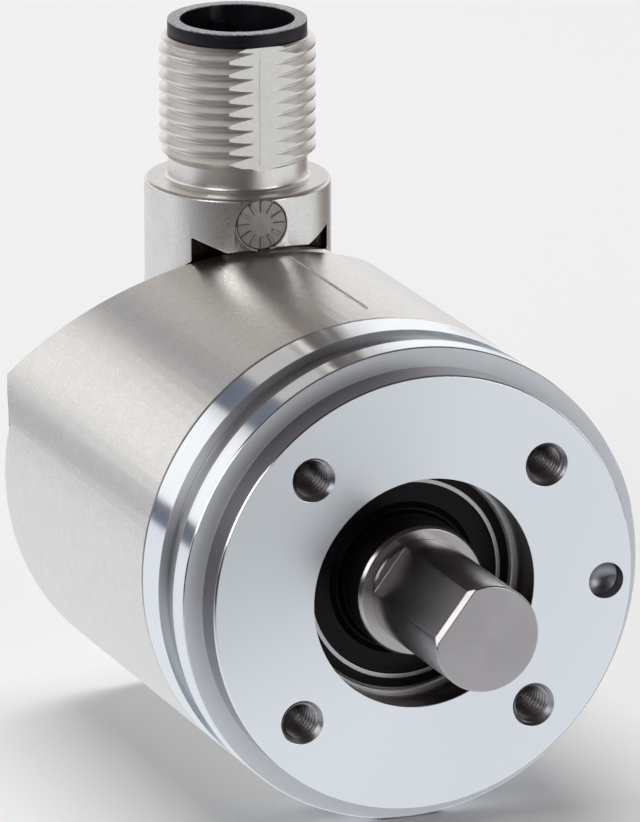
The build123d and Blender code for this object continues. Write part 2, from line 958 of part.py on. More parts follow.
def contact_insert():
    """Black insert: rim on top, keyed socket wall and the floor with the contacts."""
    body = tower_disc(insert_r, chamber_top, thread_top)
    body += tower_disc(rim_r, thread_top, thread_top + rim_height)
    body -= tower_disc(socket_r, socket_floor, thread_top + rim_height + over)
    key = Box(key_width, 2 * key_height, thread_top - socket_floor)
    middle = (thread_top + socket_floor) / 2
    key = Pos(0, swivel_y + socket_r, middle) * key
    body += key & tower_disc(insert_r, 0, thread_top)
    for x, y in contact_places():
        hole = tower_disc(contact_r, chamber_top - over, socket_floor + over)
        hole = Pos(x, y, 0) * hole
        body -= hole
    return body


def contact_places():
    """The contacts' places about the connector's upright axis."""
    places = [(0.0, 0.0)]
    for place in range(pin_count):
        x, y = on_circle(contact_circle_r, 90 + (place + 0.5) * 360 / pin_count)
        places.append((x, y))
    return places


def contacts():
    """Gold-plated contact pins, standing in the insert's floor."""
    pins = []
    for x, y in contact_places():
        stem = tower_disc(contact_r, contact_low, contact_tip)
        stem = chamfer(stem.edges().sort_by(Axis.Z)[-1], contact_r / 2)
        pins.append(Pos(x, y, 0) * stem)
    return Compound(children=pins)


def swivel_seal():
    """Rubber ring in the hub's groove that seals the swivel joint."""
    centre_r = hub_seal_bottom() + hub_seal_r
    return swivel_plane * Pos(0, 0, -hub_seal_depth) * Torus(centre_r, hub_seal_r)


def swivel_ring_clip():
    """Ring on the hub's end that keeps the connector in the housing."""
    low = -(hub_ring_depth + hub_ring_thickness)
    clip = swivel_ring(hub_r - hub_ring_groove, hub_ring_r, low, -hub_ring_depth)
    opening = Box(hub_r, 2 * hub_r, 2 * hub_ring_thickness)
    opening = Pos(0, hub_r, (low - hub_ring_depth) / 2) * opening
    return clip - swivel_plane * opening


def swivel_washer():
    """Spring washer that gives the swivel its friction."""
    start = -hub_boss_depth - washer_thickness
    return swivel_ring(hub_r + hub_clearance, hub_ring_r, start, -hub_boss_depth)


def all_pieces():
    pieces = {
        "servo_flange": flange(),
        "flange_seal": flange_seal(),
        "rear_housing": housing(),
        "encoder_shaft": shaft(),
        "shaft_seal": seal_rubber(),
        "shaft_seal_case": seal_case_ring(),
        "garter_spring": garter_spring(),
        "bearing_spacer": bearing_spacer(),
        "preload_spring": preload_spring(),
        "bore_retaining_ring": bore_retaining_ring(),
        "shaft_retaining_ring": shaft_retaining_ring(),
        "drive_pinion": drive_pinion(),
        "magnet_holder": magnet_holder(),
        "sensing_magnet": sensing_magnet(),
        "gear_carrier": gear_carrier(),
        "gear_pins": gear_pins(),
        "front_spacers": spacers(collar_end, carrier_y),
        "middle_spacers": spacers(carrier_end, sensor_board_y),
        "rear_spacers": spacers(sensor_board_y + board_thickness, main_board_y),
        "stack_screws": stack_screws(),
        "sensor_board": board(sensor_board_y, sensor_board_top),
        "sensor_chips": sensor_chips(),
        "main_board": board(main_board_y, main_board_top),
        "main_board_chips": main_chips(),
        "board_link": board_link(),
        "wire_socket": wire_socket(),
        "connector_body": connector_body(),
        "contact_insert": contact_insert(),
        "contact_pins": contacts(),
        "swivel_seal": swivel_seal(),
        "swivel_clip": swivel_ring_clip(),
        "swivel_washer": swivel_washer(),
    }
    pieces.update(bearing(bearing_y, "front"))
    pieces.update(bearing(rear_bearing_y, "rear"))
    for place in range(len(counter_teeth)):
        pieces["counter_gear_" + str(place + 1)] = counter_gear(place)
        pieces["counter_magnet_" + str(place + 1)] = counter_magnet(place)
    return pieces


for name, piece in all_pieces().items():
    export_step(piece, "parts/" + name + ".step")
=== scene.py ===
import json
from math import cos, pi, radians, sin

import bmesh
import bpy
from mathutils import Matrix, Vector


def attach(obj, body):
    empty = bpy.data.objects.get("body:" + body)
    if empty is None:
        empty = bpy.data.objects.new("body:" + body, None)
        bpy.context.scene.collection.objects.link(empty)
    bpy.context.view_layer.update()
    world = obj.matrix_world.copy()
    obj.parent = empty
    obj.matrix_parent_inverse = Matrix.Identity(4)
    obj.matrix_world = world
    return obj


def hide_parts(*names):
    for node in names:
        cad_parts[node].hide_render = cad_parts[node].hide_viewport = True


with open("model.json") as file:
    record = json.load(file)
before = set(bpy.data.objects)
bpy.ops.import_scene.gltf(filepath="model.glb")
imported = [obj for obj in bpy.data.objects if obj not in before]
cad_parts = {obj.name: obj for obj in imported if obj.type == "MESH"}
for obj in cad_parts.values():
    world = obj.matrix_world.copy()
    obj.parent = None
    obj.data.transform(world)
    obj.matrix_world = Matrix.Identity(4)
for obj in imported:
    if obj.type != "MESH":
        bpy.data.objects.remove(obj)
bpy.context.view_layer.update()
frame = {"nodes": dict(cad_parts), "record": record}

# The drawing's sizes below are in millimetres, and every mesh is in metres.
mm = 0.001


# Plain mesh helpers

def addPiece(name, mesh):
    piece = bpy.data.objects.new(name, mesh)
    bpy.context.scene.collection.objects.link(piece)
    return piece


def addMade(name, work):
    # a piece from a finished bmesh, its faces turned outwards
    bmesh.ops.recalc_face_normals(work, faces=work.faces)
    mesh = bpy.data.meshes.new(name)
    work.to_mesh(mesh)
    work.free()
    return addPiece(name, mesh)


def settle(piece):
    # keeps the mesh that the modifiers make, and drops the modifiers
    bpy.context.view_layer.update()
    graph = bpy.context.evaluated_depsgraph_get()
    plain = bpy.data.meshes.new_from_object(piece.evaluated_get(graph))
    plain.name = piece.name
    piece.modifiers.clear()
    piece.data = plain
    return piece


def cadCopy(node, name, weld=0.001, flatAngle=0.2):
    # a merged copy of a CAD node, its flat faces whole again
    source = frame["nodes"][node].data
    mesh = bpy.data.meshes.new(name)
    mesh.from_pydata([v.co[:] for v in source.vertices], [],
                     [p.vertices[:] for p in source.polygons])
    work = bmesh.new()
    work.from_mesh(mesh)
    bmesh.ops.remove_doubles(work, verts=work.verts, dist=weld * mm)
    bmesh.ops.dissolve_limit(work, angle_limit=radians(flatAngle), verts=work.verts,
                             edges=work.edges)
    work.to_mesh(mesh)
    work.free()
    return addPiece(name, mesh)


def combine(piece, other, operation):
    # joins or cuts with another closed piece, which is then gone
    if not other.data.materials:
        other.data.materials.append(piece.data.materials[0])
    step = piece.modifiers.new("combine", "BOOLEAN")
    step.operation = operation
    step.solver = "EXACT"
    step.material_mode = "TRANSFER"
    step.object = other
    settle(piece)
    bpy.data.objects.remove(other)


def softenEdges(piece, width, segments=2, sharp=30):
    step = piece.modifiers.new("soft edges", "BEVEL")
    step.width = width * mm
    step.segments = segments
    step.limit_method = "ANGLE"
    step.angle_limit = radians(sharp)
    step.use_clamp_overlap = False
    step.miter_outer = "MITER_ARC"
    settle(piece)


def shadeSmooth(piece, sharp=38, weigh=True):
    piece.data.shade_smooth()
    piece.data.set_sharp_from_angle(angle=radians(sharp))
    if weigh:
        step = piece.modifiers.new("even shading", "WEIGHTED_NORMAL")
        step.keep_sharp = True
        step.weight = 80
        settle(piece)


def lathe(name, outline, steps, spot=(0, 0, 0), upright=False):
    # turns a closed outline of (radius, height) about Y, or about Z if upright
    work = bmesh.new()
    rings = []
    for radius, height in outline:
        ring = []
        for step in range(steps if radius else 1):
            x = radius * cos(2 * pi * step / steps)
            y = radius * sin(2 * pi * step / steps)
            point = (x, y, height) if upright else (x, height, y)
            ring.append(work.verts.new((Vector(point) + Vector(spot)) * mm))
        rings.append(ring)
    for ring, after in zip(rings, rings[1:] + rings[:1]):
        if len(ring) == 1 and len(after) == 1:
            continue
        for step in range(steps):
            corners = [ring[step % len(ring)], ring[(step + 1) % len(ring)],
                       after[(step + 1) % len(after)], after[step % len(after)]]
            work.faces.new(list(dict.fromkeys(corners)))
    return addMade(name, work)


def roundBar(name, radius, low, high, spot=(0, 0, 0), steps=64):
    # an upright bar to cut with
    outline = [(0, low), (radius, low), (radius, high), (0, high)]
    return lathe(name, outline, steps, spot, upright=True)


def prism(name, outline, half):
    # an outline of (y, z) drawn out along X to both sides
    work = bmesh.new()
    left = [work.verts.new(Vector((-half, y, z)) * mm) for y, z in outline]
    right = [work.verts.new(Vector((half, y, z)) * mm) for y, z in outline]
    work.faces.new(left)
    work.faces.new(right)
    for spot in range(len(outline)):
        after = (spot + 1) % len(outline)
        work.faces.new([left[spot], left[after], right[after], right[spot]])
    return addMade(name, work)


# Geometry Nodes helpers

def newTree(name, inputs):
    # a tree, its inputs as wires inside it, and their keys and values for outside
    tree = bpy.data.node_groups.new(name, "GeometryNodeTree")
    tree.interface.new_socket("Geometry", in_out="OUTPUT",
                              socket_type="NodeSocketGeometry")
    sockets = {}
    for label, kind, value in inputs:
        socket = tree.interface.new_socket(label, in_out="INPUT", socket_type=kind)
        if kind in ("NodeSocketFloat", "NodeSocketInt"):
            socket.default_value = value
        sockets[label] = (socket.identifier, value)
    entry = tree.nodes.new("NodeGroupInput")
    size = {label: entry.outputs[label] for label in sockets}
    return tree, size, sockets


def addNode(tree, kind, wires=None, **settings):
    node = tree.nodes.new(kind)
    for label, value in settings.items():
        setattr(node, label, value)
    for key, value in (wires or {}).items():
        if isinstance(value, bpy.types.NodeSocket):
            tree.links.new(value, node.inputs[key])
        else:
            node.inputs[key].default_value = value
    return node


def maths(tree, operation, first, second=0.0, third=0.0):
    kind = "ShaderNodeMath"
    node = addNode(tree, kind, {0: first, 1: second, 2: third}, operation=operation)
    return node.outputs[0]


def endTree(tree, geometry, material):
    # every tree ends in Realize Instances and Set Material
    real = addNode(tree, "GeometryNodeRealizeInstances", {0: geometry})
    dressed = addNode(tree, "GeometryNodeSetMaterial",
                      {"Geometry": real.outputs[0], "Material": material})
    leave = tree.nodes.new("NodeGroupOutput")
    tree.links.new(dressed.outputs[0], leave.inputs[0])


def growPiece(name, tree, sockets, sizes=None):
    # runs a tree on an empty mesh and keeps what it makes as a plain mesh
    piece = addPiece(name, bpy.data.meshes.new(name))
    step = piece.modifiers.new("nodes", "NODES")
    step.node_group = tree
    for label, (identifier, value) in sockets.items():
        step[identifier] = (sizes or {}).get(label, value)
    return settle(piece)


# Material helpers

# most of a noise's values lie in these spans
noiseSpan = (0.3, 0.7)
crispSpan = (0.35, 0.65)


def newMaterial(name, colour, metallic=1.0, roughness=0.3):
    material = bpy.data.materials.new(name)
    material.use_nodes = True
    tree = material.node_tree
    shader = tree.nodes["Principled BSDF"]
    shader.inputs["Base Color"].default_value = (*colour, 1)
    shader.inputs["Metallic"].default_value = metallic
    shader.inputs["Roughness"].default_value = roughness
    place = tree.nodes.new("ShaderNodeTexCoord").outputs["Object"]
    return material, tree, shader, place


def grain(tree, place, size, detail=3.0, roughness=0.6):
    # noise whose lumps are about size millimetres wide
    wires = {"Vector": place, "Scale": 1 / (size * mm), "Detail": detail,
             "Roughness": roughness}
    return addNode(tree, "ShaderNodeTexNoise", wires).outputs[0]


def between(tree, value, low, high, start, end):
    wires = {"Value": value, "From Min": low, "From Max": high,
             "To Min": start, "To Max": end}
    return addNode(tree, "ShaderNodeMapRange", wires).outputs[0]


def spread(tree, noise, start=0.0, end=1.0, span=noiseSpan):
    # stretches a noise to run from start to end
    return between(tree, noise, *span, start, end)


def mingle(tree, first, second, share):
    # so much of the first noise, and the second for the rest
    rest = maths(tree, "MULTIPLY", second, 1 - share)
    return maths(tree, "MULTIPLY_ADD", first, share, rest)


def blend(tree, factor, first, second):
    # between two colours, each a fixed one or one from another node
    wires = {0: factor}
    for key, colour in ((6, first), (7, second)):
        wires[key] = (*colour, 1) if isinstance(colour, tuple) else colour
    return addNode(tree, "ShaderNodeMix", wires, data_type="RGBA").outputs[2]


def blendValue(tree, factor, first, second):
    return addNode(tree, "ShaderNodeMix", {0: factor, 2: first, 3: second}).outputs[0]


def relief(tree, shader, height, depth):
    # a bump of so many millimetres
    wires = {"Height": height, "Distance": depth * mm, "Strength": 1.0}
    node = addNode(tree, "ShaderNodeBump", wires)
    tree.links.new(node.outputs[0], shader.inputs["Normal"])


def paintedRecessShade(tree, look):
    # painted shade: from ambient occlusion, nought deep in a recess and one on open faces
    node = addNode(tree, "ShaderNodeAmbientOcclusion",
                   {"Distance": look["shadowReach"] * mm}, samples=8)
    return between(tree, node.outputs["AO"], *look["shadowSpan"], 0.0, 1.0)


def acrossAxis(tree, place):
    # the part of a place that is square to the shaft's axis
    parts = addNode(tree, "ShaderNodeSeparateXYZ", {0: place}).outputs
    return addNode(tree, "ShaderNodeCombineXYZ", {0: parts[0], 2: parts[2]}).outputs[0]


def turnedFrame(tree, place):
    # distance from the shaft's axis and place along it
    flat = acrossAxis(tree, place)
    radius = addNode(tree, "ShaderNodeVectorMath", {0: flat}, operation="LENGTH")
    parts = addNode(tree, "ShaderNodeSeparateXYZ", {0: place}).outputs
    return radius.outputs["Value"], parts[1]


def turnedZone(tree, place, zone):
    # one within the zone's span along the axis and its radius about it, else nought
    radius, along = turnedFrame(tree, place)
    start, end = zone["span"]
    mask = maths(tree, "LESS_THAN", radius, zone["radius"] * mm)
    mask = maths(tree, "MULTIPLY", mask, maths(tree, "GREATER_THAN", along, start * mm))
    return maths(tree, "MULTIPLY", mask, maths(tree, "LESS_THAN", along, end * mm))


def toolMarks(tree, place, size):
    # rings round the shaft's axis: on faces they follow the radius, on lands the length
    radius, along = turnedFrame(tree, place)
    wires = {"W": maths(tree, "ADD", radius, along), "Scale": 1 / (size * mm),
             "Detail": 2.0, "Roughness": 0.7}
    return addNode(tree, "ShaderNodeTexNoise", wires, noise_dimensions="1D").outputs[0]


def turnedSheen(tree, shader, place, amount):
    # spreads reflections across the tool marks
    out = addNode(tree, "ShaderNodeVectorMath", {0: acrossAxis(tree, place)},
                  operation="NORMALIZE").outputs[0]
    lean = addNode(tree, "ShaderNodeVectorMath", {0: out, 1: (0, 1, 0)}, operation="ADD")
    tree.links.new(lean.outputs[0], shader.inputs["Tangent"])
    shader.inputs["Anisotropic"].default_value = amount


# Nickel-plated die casting

castLook = {
    "bright": (0.84, 0.825, 0.805),
    "dull": (0.76, 0.74, 0.715),
    # deep: the colour of the painted shade in recesses
    "deep": (0.024, 0.016, 0.014),
    "roughness": (0.25, 0.37),
    "lumps": 1.6,
    "pits": 0.20,
    "pitShare": 0.6,
    "pitDepth": 0.006,
    "shadowReach": 0.35,
    "shadowSpan": (0.10, 0.50),
}
threadLook = dict(castLook, bright=(0.87, 0.85, 0.82), dull=(0.81, 0.785, 0.75),
                  roughness=(0.28, 0.38), pits=0.30, pitDepth=0.003)
# painted shade: a dark copy of the nickel for the notches' walls
notchShadeLook = dict(castLook, bright=(0.10, 0.07, 0.06), dull=(0.05, 0.035, 0.03))
clockLook = dict(castLook, bright=(0.70, 0.685, 0.665), dull=(0.58, 0.565, 0.545),
                 roughness=(0.36, 0.50), pits=0.12, shadowReach=0.3, shadowSpan=(0.3, 0.8))


def castNickel(name, look):
    material, tree, shader, place = newMaterial(name, look["bright"])
    cloud = grain(tree, place, look["lumps"], detail=5.0)
    pits = grain(tree, place, look["pits"], detail=4.0, roughness=0.65)
    shade = spread(tree, mingle(tree, pits, cloud, look["pitShare"]), span=crispSpan)
    metal = blend(tree, shade, look["bright"], look["dull"])
    # painted shade: the base colour darkens towards the deep colour in recesses
    metal = blend(tree, paintedRecessShade(tree, look), look["deep"], metal)
    tree.links.new(metal, shader.inputs["Base Color"])
    tree.links.new(spread(tree, pits, *look["roughness"]), shader.inputs["Roughness"])
    relief(tree, shader, pits, look["pitDepth"])
    return material


# Turned aluminium and steel

turnedLook = {
    "bright": (0.88, 0.91, 0.94),
    "dull": (0.80, 0.835, 0.875),
    # deep: the colour of the painted shade in recesses
    "deep": (0.045, 0.032, 0.034),
    "roughness": (0.09, 0.15),
    "fine": 0.07,
    "wide": 0.9,
    "fineShare": 0.5,
    "depth": 0.0009,
    "smear": 3.0,
    "sheen": 0.6,
    "shadowReach": 0.3,
    "shadowSpan": (0.25, 0.8),
}

# the flange's faces that differ from its lands, each by its span along the axis and
# the radius that it stays within, in mm; the two round the spigot and the one in the bore are
# painted shade
turnedZones = {
    "groove": {"span": (4.47, 7.33), "radius": 17.85, "metallic": 1.0,
               "colour": (0.56, 0.56, 0.575), "roughness": 0.42},
    "shoulder": {"span": (2.38, 2.44), "radius": 18.1, "metallic": 0.45,
                 "colour": (0.80, 0.84, 0.88), "roughness": 0.36},
    # painted shade: a darker colour round the spigot
    "shadedWall": {"span": (0.13, 2.38), "radius": 16.6, "metallic": 1.0,
             "colour": (0.36, 0.34, 0.375), "roughness": 0.12},
    # painted shade: a darker colour round the spigot
    "shadedDimple": {"span": (0.03, 2.30), "radius": 16.4, "metallic": 1.0,
               "colour": (0.36, 0.36, 0.39), "roughness": 0.32},
    "face": {"span": (-0.05, 0.03), "radius": 16.45, "metallic": 1.0,
             "colour": (0.83, 0.865, 0.90), "roughness": 0.24},
    # painted shade: a darker colour in the bore
    "bore": {"span": (0.14, 3.95), "radius": 8.75, "metallic": 1.0,
             "colour": (0.13, 0.105, 0.11), "roughness": 0.24},
}


def turnedAluminium():
    look = turnedLook
    made = newMaterial("turnedAluminium", look["bright"], roughness=0.2)
    material, tree, shader, place = made
    fine = toolMarks(tree, place, look["fine"])
    wide = toolMarks(tree, place, look["wide"])
    shade = spread(tree, mingle(tree, fine, wide, look["fineShare"]))
    metal = blend(tree, shade, look["bright"], look["dull"])
    # painted shade: the base colour darkens towards the deep colour in recesses
    metal = blend(tree, paintedRecessShade(tree, look), look["deep"], metal)
    rough = spread(tree, grain(tree, place, look["smear"], detail=4.0), *look["roughness"])
    metallic = 1.0
    # each zone's colour replaces the metal's; three of them are painted shade
    for zone in turnedZones.values():
        mask = turnedZone(tree, place, zone)
        metal = blend(tree, mask, metal, zone["colour"])
        rough = blendValue(tree, mask, rough, zone["roughness"])
        metallic = blendValue(tree, mask, metallic, zone["metallic"])
    tree.links.new(metal, shader.inputs["Base Color"])
    tree.links.new(rough, shader.inputs["Roughness"])
    tree.links.new(metallic, shader.inputs["Metallic"])
    turnedSheen(tree, shader, place, look["sheen"])
    relief(tree, shader, fine, look["depth"])
    return material


shaftLook = {
    "bright": (0.51, 0.487, 0.495),
    "dull": (0.43, 0.408, 0.418),
    # deep: the colour of the painted shade in recesses
    "deep": (0.020, 0.014, 0.016),
    "roughness": (0.20, 0.25),
    "fine": 0.06,
    "fineShare": 0.6,
    "lumps": 2.5,
    "depth": 0.0008,
    "sheen": 0.6,
    "shadowReach": 0.4,
    "shadowSpan": (0.2, 0.6),
}


def shaftSteel():
    look = shaftLook
    made = newMaterial("shaftSteel", look["bright"], roughness=0.25)
    material, tree, shader, place = made
    fine = toolMarks(tree, place, look["fine"])
    cloud = grain(tree, place, look["lumps"], detail=2.0)
    shade = spread(tree, mingle(tree, fine, cloud, look["fineShare"]))
    metal = blend(tree, shade, look["bright"], look["dull"])
    # painted shade: the base colour darkens towards the deep colour in recesses
    metal = blend(tree, paintedRecessShade(tree, look), look["deep"], metal)
    tree.links.new(metal, shader.inputs["Base Color"])
    tree.links.new(spread(tree, cloud, *look["roughness"]), shader.inputs["Roughness"])
    turnedSheen(tree, shader, place, look["sheen"])
    relief(tree, shader, fine, look["depth"])
    return material


# The insert's black plastic

socketLook = {
    "body": (0.007, 0.005, 0.012),
    "rimPale": (0.50, 0.485, 0.51),
    "rimHeight": 34.62,
    "speck": 0.14,
    "paleSpan": (0.4, 0.62),
    "paleShare": (0.2, 1.0),
    "depth": 0.003,
    "shine": 0.3,
    "roughness": (0.30, 0.50),
}


def socketPlastic():
    # the top of its rim is paler in specks
    look = socketLook
    made = newMaterial("socketPlastic", look["body"], metallic=0.0, roughness=0.4)
    material, tree, shader, place = made
    parts = addNode(tree, "ShaderNodeSeparateXYZ", {0: place}).outputs
    rim = maths(tree, "GREATER_THAN", parts[2], look["rimHeight"] * mm)
    speck = grain(tree, place, look["speck"])
    paleness = between(tree, speck, *look["paleSpan"], *look["paleShare"])
    paleness = maths(tree, "MULTIPLY", rim, paleness)
    tree.links.new(blend(tree, paleness, look["body"], look["rimPale"]), shader.inputs["Base Color"])
    tree.links.new(spread(tree, speck, *look["roughness"]), shader.inputs["Roughness"])
    shader.inputs["Specular IOR Level"].default_value = look["shine"]
    relief(tree, shader, speck, look["depth"])
    return material


# Plain materials: colour, second colour, metallic, roughness range, grain and bump in mm

plainLooks = {
    "bearingSteel": ((0.72, 0.72, 0.73), (0.60, 0.60, 0.62), 1.0, (0.12, 0.22), 0.5, 0.0006),
    "springSteel": ((0.50, 0.50, 0.52), (0.36, 0.36, 0.38), 1.0, (0.28, 0.42), 0.4, 0.002),
    "sealRubber": ((0.002, 0.001, 0.003), (0.004, 0.003, 0.006), 0.0, (0.24, 0.36), 0.25, 0.001),
    "blackPlastic": ((0.010, 0.009, 0.013), (0.022, 0.020, 0.027), 0.0, (0.30, 0.48), 0.12, 0.002),
    # the tapped holes' metal is darker, partly for cutting oil and partly as painted shade
    "tappedHole": ((0.44, 0.42, 0.43), (0.34, 0.32, 0.33), 1.0, (0.26, 0.34), 0.4, 0.0004),
    "gearPlastic": ((0.82, 0.80, 0.74), (0.74, 0.71, 0.65), 0.0, (0.34, 0.48), 0.3, 0.002),
    "cagePlastic": ((0.46, 0.29, 0.13), (0.38, 0.23, 0.10), 0.0, (0.36, 0.50), 0.3, 0.002),
    "lipAluminium": ((0.86, 0.87, 0.88), (0.78, 0.79, 0.80), 1.0, (0.30, 0.40), 0.5, 0.0006),
    "brass": ((0.80, 0.60, 0.28), (0.66, 0.47, 0.20), 1.0, (0.22, 0.36), 0.4, 0.001),
    "goldPlate": ((0.93, 0.70, 0.32), (0.82, 0.58, 0.24), 1.0, (0.14, 0.24), 0.3, 0.0006),
    "magnet": ((0.42, 0.42, 0.44), (0.32, 0.32, 0.34), 1.0, (0.24, 0.38), 0.5, 0.001),
    "circuitBoard": ((0.010, 0.105, 0.045), (0.016, 0.150, 0.065), 0.0, (0.25, 0.38), 0.7, 0.004),
    "chipPlastic": ((0.020, 0.020, 0.022), (0.040, 0.040, 0.043), 0.0, (0.42, 0.58), 0.12, 0.003),
}
rubberShine = 0.16


def plainMaterial(name):
    first, second, metallic, rough, size, depth = plainLooks[name]
    material, tree, shader, place = newMaterial(name, first, metallic, rough[0])
    lumps = grain(tree, place, size, detail=4.0)
    shade = spread(tree, lumps, span=crispSpan)
    tree.links.new(blend(tree, shade, first, second), shader.inputs["Base Color"])
    tree.links.new(spread(tree, lumps, *rough), shader.inputs["Roughness"])
    relief(tree, shader, lumps, depth)
    return material


materials = {name: plainMaterial(name) for name in plainLooks}
rubber = materials["sealRubber"].node_tree.nodes["Principled BSDF"]
rubber.inputs["Specular IOR Level"].default_value = rubberShine
materials["castNickel"] = castNickel("castNickel", castLook)
materials["threadNickel"] = castNickel("threadNickel", threadLook)
materials["notchNickel"] = castNickel("notchNickel", notchShadeLook)
materials["clockNickel"] = castNickel("clockNickel", clockLook)
materials["socketPlastic"] = socketPlastic()
materials["turnedAluminium"] = turnedAluminium()
materials["shaftSteel"] = shaftSteel()

slotLooks = {
    "aluminium": "turnedAluminium",
    "nickel_zinc": "castNickel",
    "stainless": "shaftSteel",
    "bearing_steel": "bearingSteel",
    "spring_steel": "springSteel",
    "seal_rubber": "sealRubber",
    "black_plastic": "blackPlastic",
    "gear_plastic": "gearPlastic",
    "cage_plastic": "cagePlastic",
    "brass": "brass",
    "gold_plate": "goldPlate",
    "magnet": "magnet",
    "circuit_board": "circuitBoard",
    "chip_plastic": "chipPlastic",
}
nodeSlots = {part["node"]: part["material_slot"] for part in frame["record"]["subparts"]}
for node, piece in frame["nodes"].items():
    piece.data.materials.clear()
    piece.data.materials.append(materials[slotLooks[nodeSlots[node]]])
print("materials:", len(materials))


# Finishing a piece

# how wide the soft edges of each node's piece are, in mm
softWidths = {
    "servo_flange": 0.03,
    "rear_housing": 0.05,
    "connector_body": 0.1,
    "encoder_shaft": 0.05,
    "shaft_seal": 0.04,
    "shaft_seal_case": 0.04,
    "contact_insert": 0.06,
    "contact_pins": 0,
}


def finishPiece(piece, body):
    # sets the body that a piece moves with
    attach(piece, body)


def finishNode(piece, node, body):
    # gives the piece that stands for a node its slot's material and its body
    slot = nodeSlots[node]
    if not piece.data.materials:
        piece.data.materials.append(materials[slotLooks[slot]])
    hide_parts(node)
    finishPiece(piece, body)


# Thread surfaces

def threadTree():
    # a threaded tube whose grid leans with the thread, so crests and roots stay crisp
    inputs = [("crest", "NodeSocketFloat", 6 * mm), ("root", "NodeSocketFloat", 5 * mm),
              ("pitch", "NodeSocketFloat", 1 * mm), ("low", "NodeSocketFloat", 0.0),
              ("high", "NodeSocketFloat", 10 * mm), ("turn", "NodeSocketFloat", 0.0),
              ("rootShare", "NodeSocketFloat", 0.1), ("crestStart", "NodeSocketFloat", 0.8),
              ("columns", "NodeSocketInt", 193), ("steps", "NodeSocketInt", 20),
              ("material", "NodeSocketMaterial", None)]
    tree, size, sockets = newTree("threadSurface", inputs)
    length = maths(tree, "SUBTRACT", size["high"], size["low"])
    turns = maths(tree, "CEIL", maths(tree, "DIVIDE", length, size["pitch"]))
    turns = maths(tree, "ADD", turns, 1.0)
    rows = maths(tree, "MULTIPLY_ADD", turns, size["steps"], 1.0)
    sheet = addNode(tree, "GeometryNodeMeshGrid",
                    {"Size X": 1.0, "Size Y": 1.0, "Vertices X": size["columns"],
                     "Vertices Y": rows})
    spot = addNode(tree, "GeometryNodeInputPosition").outputs[0]
    across = addNode(tree, "ShaderNodeSeparateXYZ", {0: spot}).outputs
    around = maths(tree, "ADD", across[0], 0.5)
    angle = maths(tree, "MULTIPLY", around, 2 * pi)
    share = maths(tree, "ADD", across[1], 0.5)
    rise = maths(tree, "MULTIPLY_ADD", share, turns, maths(tree, "SUBTRACT", around, 1.0))
    rise = maths(tree, "MULTIPLY", rise, size["pitch"])
    rise = maths(tree, "MINIMUM", maths(tree, "MAXIMUM", rise, 0.0), length)
    phase = maths(tree, "SUBTRACT", maths(tree, "DIVIDE", rise, size["pitch"]), around)
    phase = maths(tree, "FRACT", maths(tree, "ADD", phase, size["turn"]))
    ridge = maths(tree, "ABSOLUTE", maths(tree, "SUBTRACT", phase, 0.5))
    ridge = maths(tree, "MULTIPLY", ridge, 2.0)
    flank = addNode(tree, "ShaderNodeMapRange",
                    {"Value": ridge, "From Min": size["rootShare"],
                     "From Max": size["crestStart"]}).outputs[0]
    depth = maths(tree, "SUBTRACT", size["crest"], size["root"])
    radius = maths(tree, "MULTIPLY_ADD", flank, depth, size["root"])
    x = maths(tree, "MULTIPLY", radius, maths(tree, "COSINE", angle))
    y = maths(tree, "MULTIPLY", radius, maths(tree, "SINE", angle))
    z = maths(tree, "ADD", rise, size["low"])
    point = addNode(tree, "ShaderNodeCombineXYZ", {0: x, 1: y, 2: z}).outputs[0]
    bent = addNode(tree, "GeometryNodeSetPosition",
                   {"Geometry": sheet.outputs[0], "Position": point})
    closed = addNode(tree, "GeometryNodeMergeByDistance",
                     {"Geometry": bent.outputs[0], "Distance": 0.0005 * mm})
    endTree(tree, closed.outputs[0], size["material"])
    return tree, sockets


threadNodes, threadSockets = threadTree()


def closeEnds(mesh, rings, tips):
    # closes an upright tube: the low rim runs through the rings to its tip
    work = bmesh.new()
    work.from_mesh(mesh)
    rims = {False: [], True: []}
    middle = sum(v.co.z for v in work.verts) / len(work.verts)
    for edge in (e for e in work.edges if e.is_boundary):
        rims[edge.verts[0].co.z > middle].append(edge)
    for radius, height in rings:
        grown = bmesh.ops.extrude_edge_only(work, edges=rims[False])["geom"]
        for vert in (v for v in grown if isinstance(v, bmesh.types.BMVert)):
            arm = Vector((vert.co.x, vert.co.y, 0)).normalized() * radius
            vert.co = Vector((arm.x, arm.y, height)) * mm
        rims[False] = [e for e in grown if isinstance(e, bmesh.types.BMEdge)]
    for rim, tip in zip((rims[False], rims[True]), tips):
        peak = work.verts.new((0, 0, tip * mm))
        for edge in rim:
            work.faces.new((edge.verts[0], edge.verts[1], peak))
    bmesh.ops.recalc_face_normals(work, faces=work.faces)
    work.to_mesh(mesh)
    work.free()


# Flange and the four tapped holes in its front face

tapped = {
    "count": 4,
    "circle": 13.0 * mm,
    "turn": radians(-42.2),
    "mouth": (1.62, -0.02),
    "tips": (-0.3, 6.35),
    "thread": {"crest": 1.5 * mm, "root": 1.25 * mm, "pitch": 0.5 * mm,
               "low": 0.1 * mm, "high": 5.6 * mm, "rootShare": 0.2,
               "crestStart": 0.8, "columns": 49, "steps": 10},
}


